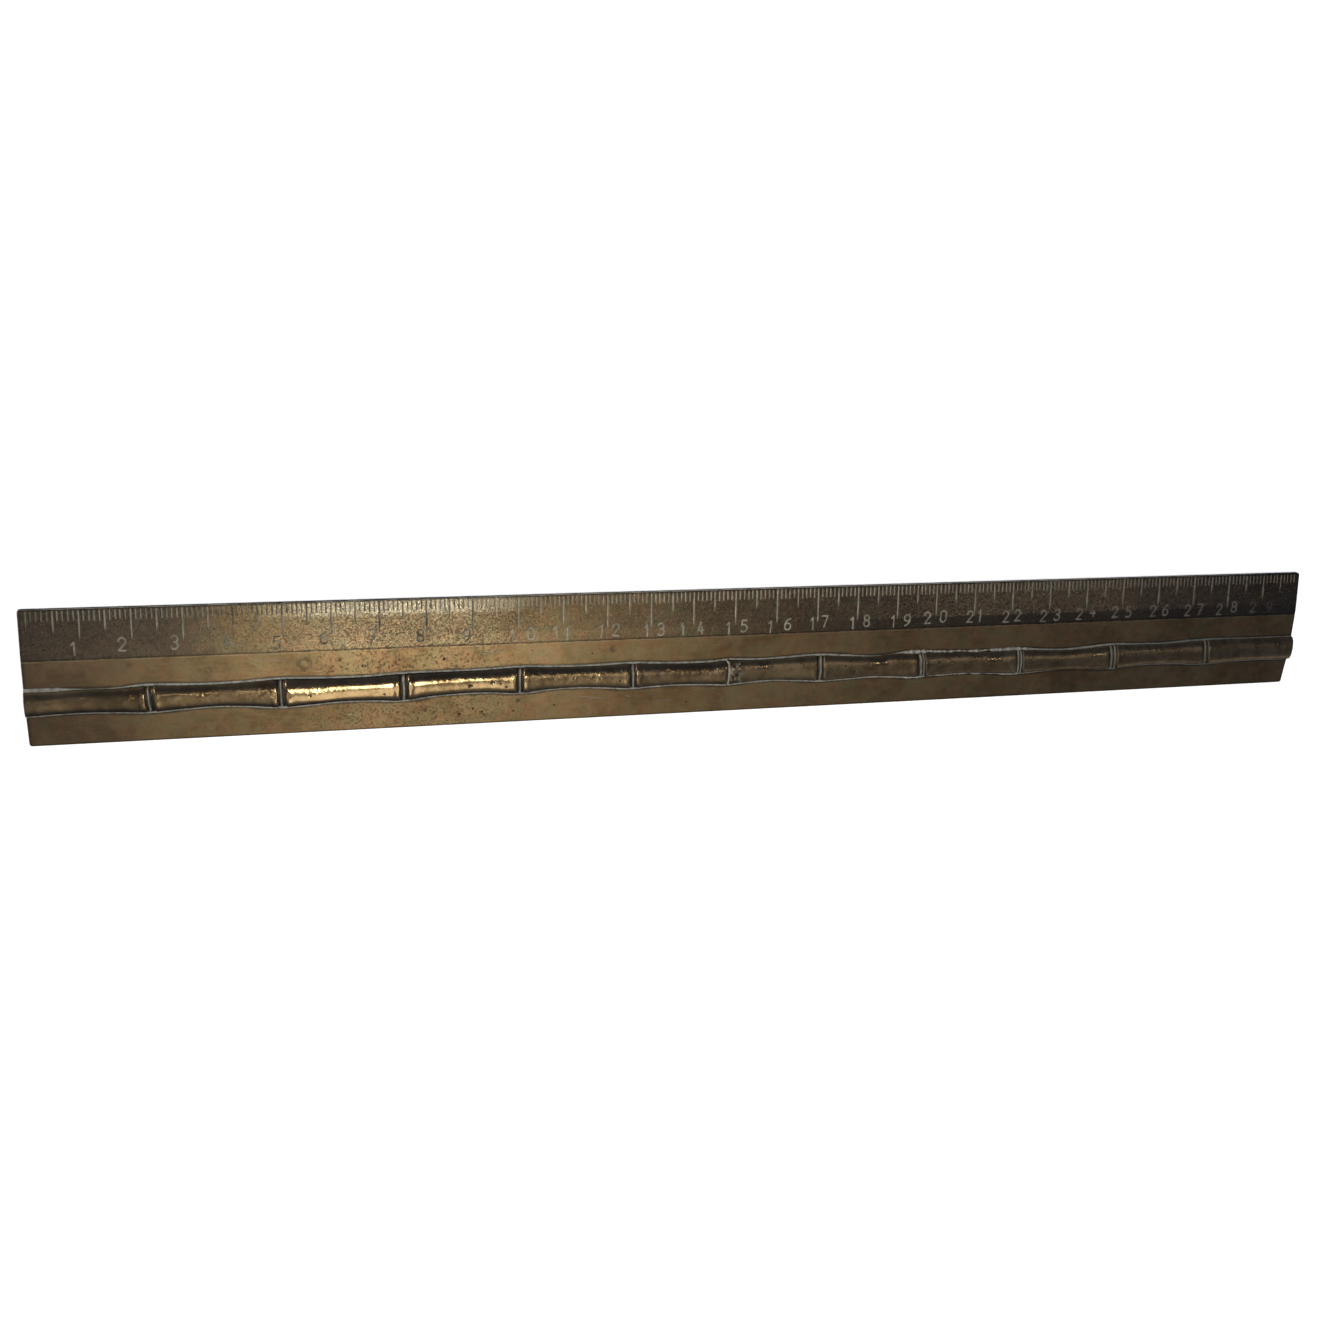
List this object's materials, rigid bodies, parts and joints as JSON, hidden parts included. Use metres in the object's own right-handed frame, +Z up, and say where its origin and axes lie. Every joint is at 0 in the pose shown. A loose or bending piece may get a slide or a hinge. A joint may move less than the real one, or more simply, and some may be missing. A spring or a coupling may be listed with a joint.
{
  "type": "brass desk ruler",
  "caption": "Flat brass desk ruler with bevelled edges, a centimetre scale cut along one edge and a half-round bamboo-shaped rib soldered along its face as a grip.",
  "frame": {"origin": "centre of the underside's bounding rectangle, on the surface the ruler lies on", "axes": "+X along the ruler towards the high numbers, +Y across it towards the edge that carries the scale, +Z up out of the marked face"},
  "size_m": [0.302, 0.0292, 0.0033],
  "materials": {
    "plate_brass": "worn and patinated, satin",
    "rib_brass": "hand polished, patinated in the grooves",
    "solder": "dull grey, rough"
  },
  "bodies": {
    "root": {"ruler_plate": "plate_brass", "bamboo_rib_left": "rib_brass", "bamboo_rib_right": "rib_brass", "solder_joint_left": "solder", "solder_joint_right": "solder", "solder_butt_joint": "solder"}
  },
  "joints": []
}
